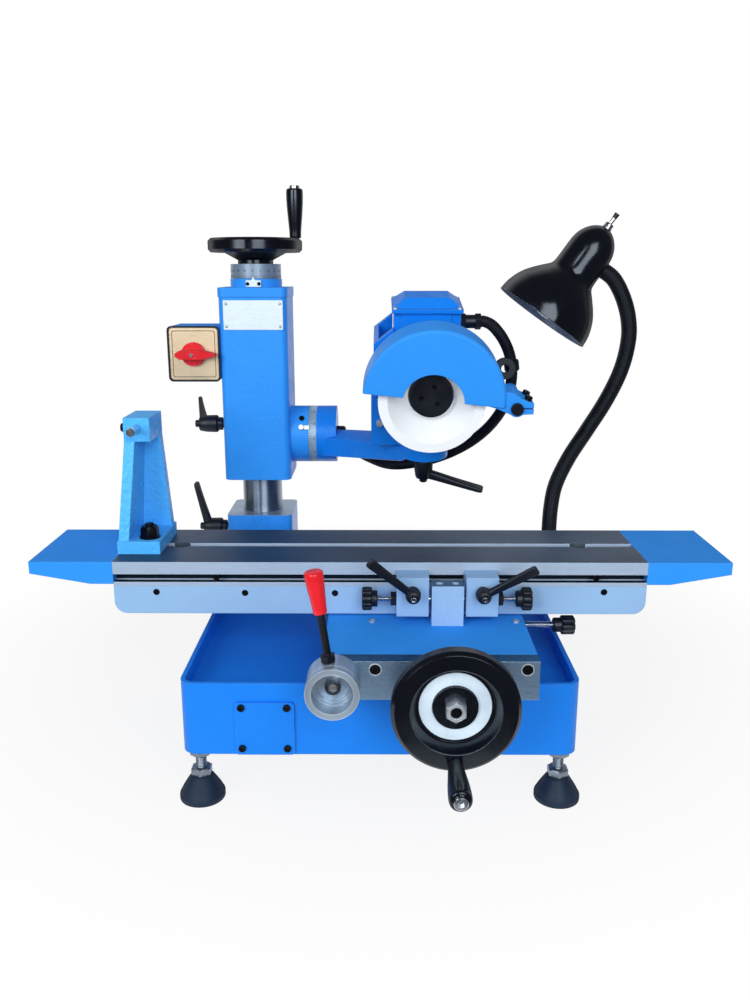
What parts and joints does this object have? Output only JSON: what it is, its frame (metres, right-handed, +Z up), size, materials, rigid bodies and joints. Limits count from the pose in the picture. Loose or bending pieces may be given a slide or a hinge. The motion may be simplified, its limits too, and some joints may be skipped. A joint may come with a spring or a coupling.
{
  "type": "tool and cutter grinder",
  "caption": "Bench grinder for tools and cutters: sliding table on a cross slide over a chip tray, column with a lifting head, tilting motor arm with a guarded cup wheel, and a gooseneck lamp.",
  "frame": {"origin": "on the bench under the middle of the base, level with the undersides of the four feet", "axes": "+X to the right along the table, +Y to the back, +Z up"},
  "size_m": [0.788, 0.613, 0.677],
  "materials": {
    "blue_paint": "gloss",
    "grey_paint": "satin",
    "ground_steel": "ground",
    "bright_steel": "polished",
    "black_plastic": "gloss",
    "black_rubber": "matte",
    "black_steel": "gloss",
    "satin_aluminium": "satin",
    "red_plastic": "gloss",
    "abrasive": "rough",
    "bulb_glass": "frosted",
    "bronze": "machined"
  },
  "bodies": {
    "base": {"base_pan": "blue_paint", "base_cover": "blue_paint", "foot_pads": "black_rubber", "foot_studs": "bright_steel", "cross_bed": "ground_steel", "cross_nut": "bronze", "column_socket": "blue_paint", "lamp_bracket": "black_steel", "gooseneck": "black_steel"},
    "lamp": {"lamp_shade": "black_steel", "lamp_bulb": "bulb_glass"},
    "lamp_toggle": {"lamp_switch": "bright_steel"},
    "column_lock": {"column_lock_lever": "black_plastic"},
    "column": {"column_post": "ground_steel", "lift_nut": "bronze"},
    "head": {"head_casting": "blue_paint", "head_cap": "blue_paint", "switch_box": "blue_paint"},
    "switch": {"switch_knob": "red_plastic"},
    "lift_wheel": {"lift_screw": "ground_steel", "lift_dial": "grey_paint", "lift_handwheel": "black_plastic"},
    "lift_handle": {"lift_grip": "black_plastic"},
    "head_lock": {"head_lock_lever": "black_plastic"},
    "arm": {"arm_casting": "blue_paint", "angle_ring": "satin_aluminium", "motor_cable": "black_rubber"},
    "motor": {"motor_body": "blue_paint", "fan_cover": "blue_paint", "terminal_box": "blue_paint", "cable_gland": "black_plastic", "guard_rod": "black_steel", "spindle_bearings": "bright_steel"},
    "spindle": {"spindle_shaft": "bright_steel", "wheel_flange": "black_steel", "grinding_wheel": "abrasive"},
    "guard": {"wheel_guard": "blue_paint"},
    "motor_lock": {"motor_lock_lever": "black_plastic"},
    "saddle": {"saddle_body": "blue_paint", "front_block": "ground_steel", "centre_stop": "ground_steel"},
    "slide_lock": {"saddle_lock": "black_plastic"},
    "cross_wheel": {"cross_screw": "ground_steel", "cross_handwheel": "black_plastic"},
    "cross_handle": {"cross_grip": "black_plastic"},
    "traverse": {"traverse_shaft": "ground_steel", "traverse_hub": "satin_aluminium", "traverse_lever": "red_plastic"},
    "table": {"table_plate": "ground_steel", "table_apron": "grey_paint", "end_covers": "blue_paint", "traverse_rack": "ground_steel"},
    "dog_left": {"left_dog": "ground_steel"},
    "dog_right": {"right_dog": "ground_steel"},
    "dog_left_clamp": {"left_dog_lever": "black_plastic"},
    "dog_right_clamp": {"right_dog_lever": "black_plastic"},
    "dog_left_stop": {"left_dog_screw": "black_plastic"},
    "dog_right_stop": {"right_dog_screw": "black_plastic"},
    "tail": {"tailstock": "blue_paint", "centre_pin": "bright_steel"}
  },
  "joints": [
    {"name": "lamp_bend", "type": "hinge", "parent": "base", "child": "lamp", "pos_m": [0.247, 0.122, 0.3], "axis": [-1, 0, 0], "range_deg": [-15, 25], "deforming": ["gooseneck"]},
    {"name": "lamp_switch_flick", "type": "hinge", "parent": "lamp", "child": "lamp_toggle", "pos_m": [0.29315, 0.122, 0.62104], "axis": [0, 1, 0], "range_deg": [-12, 12]},
    {"name": "column_lock_turn", "type": "hinge", "parent": "base", "child": "column_lock", "pos_m": [-0.2123, 0.15, 0.212], "axis": [1, 0, 0], "range_deg": [-45, 45]},
    {"name": "column_swivel", "type": "hinge", "parent": "base", "child": "column", "pos_m": [-0.167, 0.15, 0.24], "axis": [0, 0, 1], "range_deg": [-30, 15]},
    {"name": "head_lift", "type": "slide", "parent": "column", "child": "head", "axis": [0, 0, 1], "range_m": [-0.03, 0.08]},
    {"name": "lift_wheel_turn", "type": "hinge", "parent": "head", "child": "lift_wheel", "pos_m": [-0.167, 0.15, 0.577], "axis": [0, 0, 1], "range_deg": [-2720, 7220]},
    {"name": "lift_grip_spin", "type": "hinge", "parent": "lift_wheel", "child": "lift_handle", "pos_m": [-0.113, 0.15, 0.637], "axis": [0, 0, 1], "continuous": true},
    {"name": "head_lock_turn", "type": "hinge", "parent": "head", "child": "head_lock", "pos_m": [-0.2123, 0.15, 0.361], "axis": [1, 0, 0], "range_deg": [-60, 20]},
    {"name": "switch_turn", "type": "hinge", "parent": "head", "child": "switch", "pos_m": [-0.2465, 0.105, 0.4615], "axis": [0, -1, 0], "range_deg": [0, 90]},
    {"name": "arm_tilt", "type": "hinge", "parent": "head", "child": "arm", "pos_m": [-0.098, 0.15, 0.347], "axis": [1, 0, 0], "range_deg": [-30, 10]},
    {"name": "motor_swivel", "type": "hinge", "parent": "arm", "child": "motor", "pos_m": [0.056, 0.03177, 0.34951], "axis": [0, -0.1736, 0.9848], "range_deg": [-30, 30], "deforming": ["motor_cable"]},
    {"name": "spindle_spin", "type": "hinge", "parent": "motor", "child": "spindle", "pos_m": [0.06, -0.01682, 0.42928], "axis": [0, 0.9848, 0.1736], "continuous": true},
    {"name": "guard_swing", "type": "hinge", "parent": "motor", "child": "guard", "pos_m": [0.1575, -0.05517, 0.41643], "axis": [0, 0.9848, 0.1736], "range_deg": [0, 90]},
    {"name": "motor_lock_turn", "type": "hinge", "parent": "arm", "child": "motor_lock", "pos_m": [0.056, 0.03321, 0.34133], "axis": [0, -0.1736, 0.9848], "range_deg": [-45, 45]},
    {"name": "saddle_slide", "type": "slide", "parent": "base", "child": "saddle", "axis": [0, 1, 0], "range_m": [-0.06, 0.04]},
    {"name": "cross_wheel_turn", "type": "hinge", "parent": "saddle", "child": "cross_wheel", "pos_m": [0.073, -0.285, 0.161], "axis": [0, 1, 0], "range_deg": [-5420, 3620]},
    {"name": "cross_grip_spin", "type": "hinge", "parent": "cross_wheel", "child": "cross_handle", "pos_m": [0.073, -0.35, 0.107], "axis": [0, 1, 0], "continuous": true},
    {"name": "saddle_lock_turn", "type": "hinge", "parent": "saddle", "child": "slide_lock", "pos_m": [0.18, -0.128, 0.174], "axis": [1, 0, 0], "range_deg": [-180, 180]},
    {"name": "table_slide", "type": "slide", "parent": "saddle", "child": "table", "axis": [1, 0, 0], "range_m": [-0.076, 0.038]},
    {"name": "traverse_lever_turn", "type": "hinge", "parent": "saddle", "child": "traverse", "pos_m": [-0.046, -0.28, 0.17], "axis": [0, 1, 0], "range_deg": [-150, 75]},
    {"name": "left_dog_slide", "type": "slide", "parent": "table", "child": "dog_left", "axis": [1, 0, 0], "range_m": [-0.04, 0.08]},
    {"name": "right_dog_slide", "type": "slide", "parent": "table", "child": "dog_right", "axis": [1, 0, 0], "range_m": [-0.04, 0.08]},
    {"name": "left_dog_clamp_turn", "type": "hinge", "parent": "dog_left", "child": "dog_left_clamp", "pos_m": [0.03625, -0.1646, 0.227], "axis": [0, 1, 0], "range_deg": [-30, 30]},
    {"name": "right_dog_clamp_turn", "type": "hinge", "parent": "dog_right", "child": "dog_right_clamp", "pos_m": [0.11275, -0.1646, 0.227], "axis": [0, 1, 0], "range_deg": [-30, 30]},
    {"name": "left_dog_stop_turn", "type": "hinge", "parent": "dog_left", "child": "dog_left_stop", "pos_m": [0, -0.152, 0.2145], "axis": [1, 0, 0], "range_deg": [-180, 180]},
    {"name": "right_dog_stop_turn", "type": "hinge", "parent": "dog_right", "child": "dog_right_stop", "pos_m": [0.15, -0.152, 0.2145], "axis": [1, 0, 0], "range_deg": [-180, 180]},
    {"name": "tailstock_slide", "type": "slide", "parent": "table", "child": "tail", "axis": [1, 0, 0], "range_m": [0, 0.16]}
  ],
  "couplings": [
    {"joint": "cross_wheel_turn", "follows": "saddle_slide", "rad_per_m": 1570.8},
    {"joint": "lift_wheel_turn", "follows": "head_lift", "rad_per_m": 1570.8},
    {"joint": "traverse_lever_turn", "follows": "table_slide", "rad_per_m": 33.333},
    {"joint": "left_dog_slide", "follows": "table_slide", "ratio": -1},
    {"joint": "right_dog_slide", "follows": "table_slide", "ratio": -1}
  ]
}
